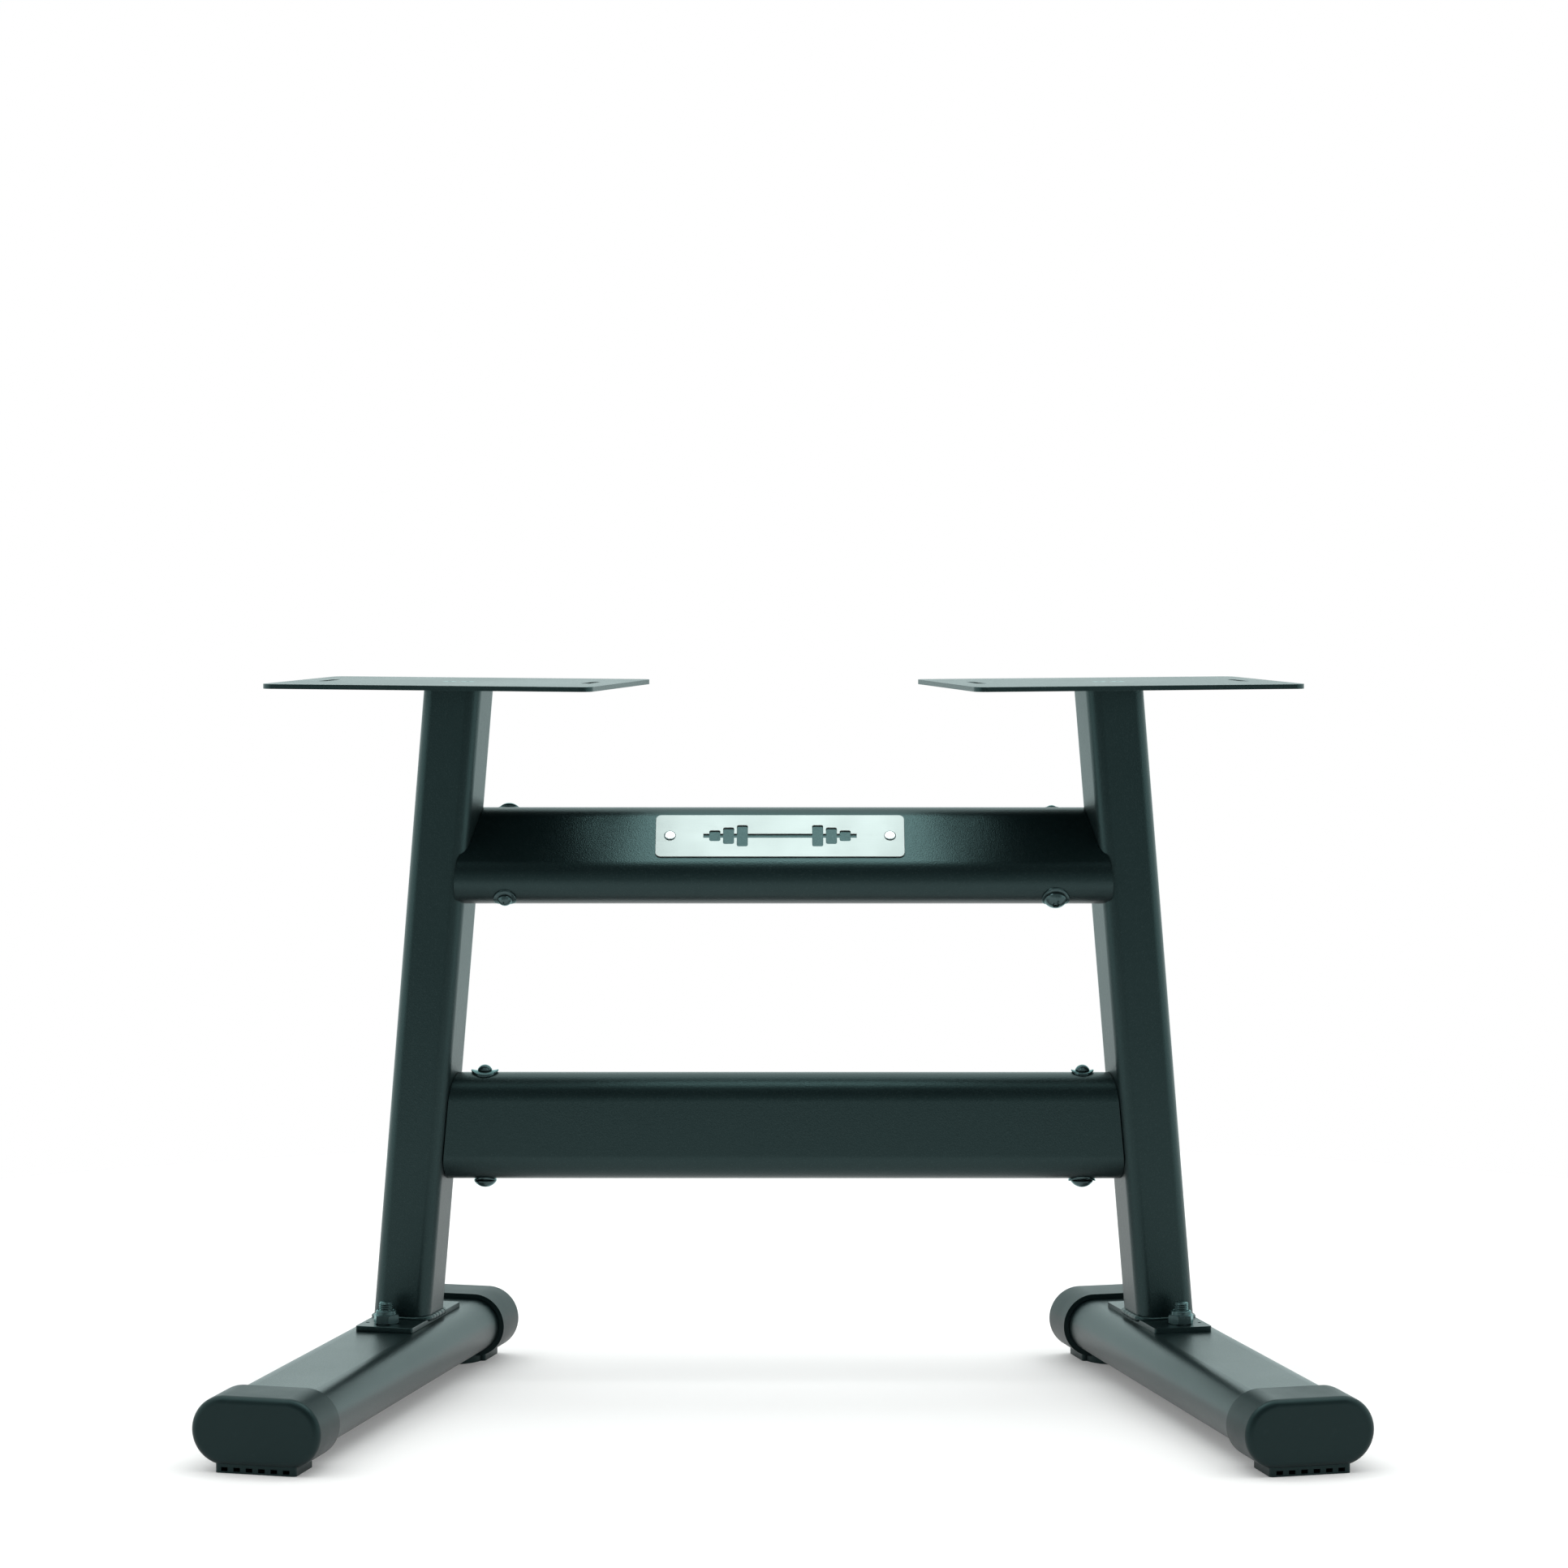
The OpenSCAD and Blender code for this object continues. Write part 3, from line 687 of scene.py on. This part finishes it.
def saddle_washer(width):
    """Washer bent round a beam's side, with its middle over the bolt and Z = 0 on the beam's axis. Its two
    ends, which the tube does not hold, stand up a little."""
    thick, hole, lobe, lift = SADDLE_T, 4.5, BEAM_H / 2, 0.9
    outer, edge = width / 2, 0.4
    under = [hole + (outer - edge - hole) * i / 6 for i in range(7)]
    rings = [(r, 0) for r in under] + [(outer, edge), (outer, thick - edge)]
    rings += [(r, thick) for r in reversed(under)]

    def bent(point):
        reach = lobe + point.z + lift * max(0, abs(point.x) / outer - 0.5) ** 2 * 4
        return Vector((point.x, point.y, (BEAM_W - BEAM_H) / 2 + math.sqrt(reach * reach - point.y ** 2)))

    return ringed(rings, 64, closed=True, shape=bent)


def foot_fasteners():
    washer_t = 2
    seat = FOOT_BOTTOM - washer_t
    set_out("foot_lock_nuts", lock_nut(), foot_bolt_places(BASE_TOP), ZINC, "foot_nuts")
    set_out("foot_flat_washers", flat_washer(12, 6.5, washer_t), foot_bolt_places(seat), ZINC,
            "foot_bolt_washers")
    set_out("foot_bolt_heads", hexagon_head(), foot_bolt_places(seat), ZINC, "foot_bolts")
    root, top, pitch = BASE_TOP - 1.5, BASE_TOP + 18, 1.75
    rows_per_turn = 9
    rods = THREAD.run(points_host(foot_bolt_places(root)), "foot_bolt_threads", ZINC, {
        "Radius": 6 * MM, "Pitch": pitch * MM, "Depth": 1.0 * MM, "Length": (top - root) * MM,
        "Tip": 1.1 * MM, "Rows": round((top - root) / pitch * rows_per_turn)})
    hand_over(rods, ZINC, "foot_bolts")


def beam_fasteners():
    """Bolts, cap nuts and washers of both beams. Only the upper beam's left bolt has its head on top."""
    seat = BEAM_W / 2 + SADDLE_T
    small, large = 19, 23
    for beam, z, tilt, heads_down in (("lower", LOWER_Z, 0, (True, True)),
                                      ("upper", UPPER_Z, UPPER_TILT, (False, True))):
        heads = [p @ moved(0, 0, seat) for p in beam_bolt_places(z, tilt, heads_down)]
        nuts = [p @ moved(0, 0, seat) for p in beam_bolt_places(z, tilt, [not d for d in heads_down])]
        set_out(f"{beam}_beam_button_bolts", button_head(2 * seat + 2.5), heads, ZINC, f"{beam}_beam_bolts")
        set_out(f"{beam}_beam_domed_nuts", cap_nut(), nuts, ZINC, f"{beam}_beam_cap_nuts")
        for width, name, down in ((large, "large", (False, True)), (small, "small", (True, False))):
            set_out(f"{beam}_beam_{name}_washers", saddle_washer(width), beam_bolt_places(z, tilt, down),
                    ZINC, f"{beam}_beam_saddle_washers")


def upright_welds():
    """The bead round each upright's foot, on its base plate."""
    half, corner, rise = UPRIGHT_W / 2 + 0.5, UPRIGHT_R, 0.4
    straight = half - corner
    corners = ((1, 1, 0), (-1, 1, 90), (-1, -1, 180), (1, -1, 270))
    ring = []
    for sx, sy, start in corners:
        for step in range(7):
            a = math.radians(start + 15 * step)
            ring.append((sx * straight + corner * math.cos(a), sy * straight + corner * math.sin(a), rise))
    for side, name in ((-1, "left"), (1, "right")):
        place = foot_frame(side) @ moved(0, 0, BASE_TOP)
        mesh = bpy.data.meshes.new("weld_path")
        mesh.from_pydata([Vector(p) * MM for p in ring],
                         [(i, (i + 1) % len(ring)) for i in range(len(ring))], [])
        bead = WELD.run(added("weld_path", mesh), f"{name}_upright_weld", COAT, {
            "Bead": 2.8 * MM, "Ripple": 7.5 * MM, "Inner Side": float(-side), "Seed": 3.0 + side})
        bead.data.transform(place)
        hand_over(bead, COAT)


def small_fittings():
    """The screws, the name plate, and its rivets with their tails in the beam and thin dark rubber rings
    under their heads, which stand for the shade round each head: painted shade."""
    for node in ("foot_cap_screws", "tray_screws"):
        dress_cad(node, ZINC)
    softened("name_plate", "brushed_plate", STEEL, 0.3)
    tail, shade_ring_t = 2.5 + 3, 0.3
    under = PLATE_T + shade_ring_t
    face = beam_frame(UPPER_Z, UPPER_TILT) @ moved(PLATE_X, -BEAM_H / 2, PLATE_UP) @ turned("X", 90)
    places = [face @ moved(x, 0, 0) for x in (-RIVET_X, RIVET_X)]
    rings = [(0.3, -tail), (3.0, -tail), (3.0, -2.5), (2.0, -2.5), (2.0, under), (4.0, under),
             (4.15, under + 0.1), (4.1, under + 0.3)]
    rings += dome(8.0, 0.35, under + 0.35, 7, inner=0.4)
    set_out("plate_rivets", ringed(rings, 48), places, RIVET, "name_plate_rivets")
    # Painted shade: a thin dark ring under each rivet head stands for the shadow in the gap round it.
    shade_ring_places = [place @ moved(0, 0, PLATE_T) for place in places]
    set_out("rivet_seal_rings", flat_washer(4.9, 2.1, shade_ring_t), shade_ring_places, RUBBER)


# ---------------------------------------------------------------- studio

def floor():
    """A pale disc, lit a little from within, as a light table is."""
    radius, sides = 1.5, 96
    mesh = bpy.data.meshes.new("floor")
    rim = [(radius * math.cos(2 * math.pi * k / sides), radius * math.sin(2 * math.pi * k / sides), 0)
           for k in range(sides)]
    mesh.from_pydata(rim, [], [tuple(range(sides))])
    white = Finish("white_floor")
    cloud = white.noise(0.8, detail=1)
    paint = white.surface(
        Base_Color=white.blend(cloud, (0.86, 0.73, 0.73), (0.88, 0.75, 0.75)),
        Roughness=0.9,
        Emission_Color=(1.0, 1.0, 1.0, 1),
        Emission_Strength=FLOOR_GLOW,
    )
    shown("floor", mesh, paint)


def world_light():
    """A studio all round: dim ahead of the stand, dark above that, bright overhead and behind, with pale
    side walls. To look at, it is plain white."""
    world = bpy.data.worlds.new("white_room")
    bpy.context.scene.world = world
    world.use_nodes = True
    world.node_tree.nodes.clear()
    room = Board(world.node_tree)
    towards = room.node("ShaderNodeTexCoord", output="Generated")
    aside = room.part(towards, "X")
    depth = room.part(towards, "Y")
    height = room.part(towards, "Z")
    turn = room.maths("ABSOLUTE", room.maths("ARCTAN2", height, depth * -1))
    stops = [(degrees / 180, grey(light / BRIGHTEST)) for degrees, light in ROUND_LIGHT]
    around = room.node("ShaderNodeValToRGB", {"stops": stops}, {0: turn / math.pi}) * BRIGHTEST
    share = room.spread(room.maths("ABSOLUTE", aside), 0.62, 0.88)
    walls = room.spread(height, 0.25, 0.7, SIDE_LIGHT_LOW, SIDE_LIGHT_HIGH)
    light = around * (1 - share) + walls * share
    lit = room.node("ShaderNodeBackground", {}, {"Color": (*LAMP_TINT, 1), "Strength": light})
    seen = room.node("ShaderNodeBackground", {}, {"Color": (1, 1, 1, 1), "Strength": 1.0})
    looked_at = room.node("ShaderNodeLightPath", output="Is Camera Ray")
    mixed = room.node("ShaderNodeMixShader", {}, {0: looked_at, 1: lit, 2: seen})
    room.node("ShaderNodeOutputWorld", {}, {"Surface": mixed})


def softbox(name, place, size, brightness):
    """A soft light that looks straight down, and shows in gloss but not in the view. Its brightness is that
    of white paper at 1."""
    data = bpy.data.lights.new(name, "AREA")
    data.shape = "RECTANGLE"
    data.size, data.size_y = size
    data.energy = brightness * math.pi * size[0] * size[1]
    data.color = LAMP_TINT
    box = added(name, data)
    box.location = place
    box.visible_camera = False


def studio():
    floor()
    world_light()
    softbox("overhead", (0.01, -0.015, 1.0), (0.60, 0.16), 5.5)
    scene = bpy.context.scene
    scene.view_settings.view_transform = "Standard"
    scene.view_settings.look = "None"


def camera():
    """A long lens a little above the trays, 3.5 m in front, that looks slightly down."""
    looks_down, turned_left = 3.53, 0.09
    data = bpy.data.cameras.new("camera")
    data.lens = 97.2
    data.sensor_width = 36
    data.clip_end = 60
    held = added("camera", data)
    held.location = (0.0059, -3.4503, 0.7286)
    held.rotation_euler = (math.radians(90 - looks_down), 0, math.radians(turned_left))
    bpy.context.scene.camera = held


camera()
frame_steel()
foot_caps()
foot_fasteners()
beam_fasteners()
upright_welds()
small_fittings()
studio()
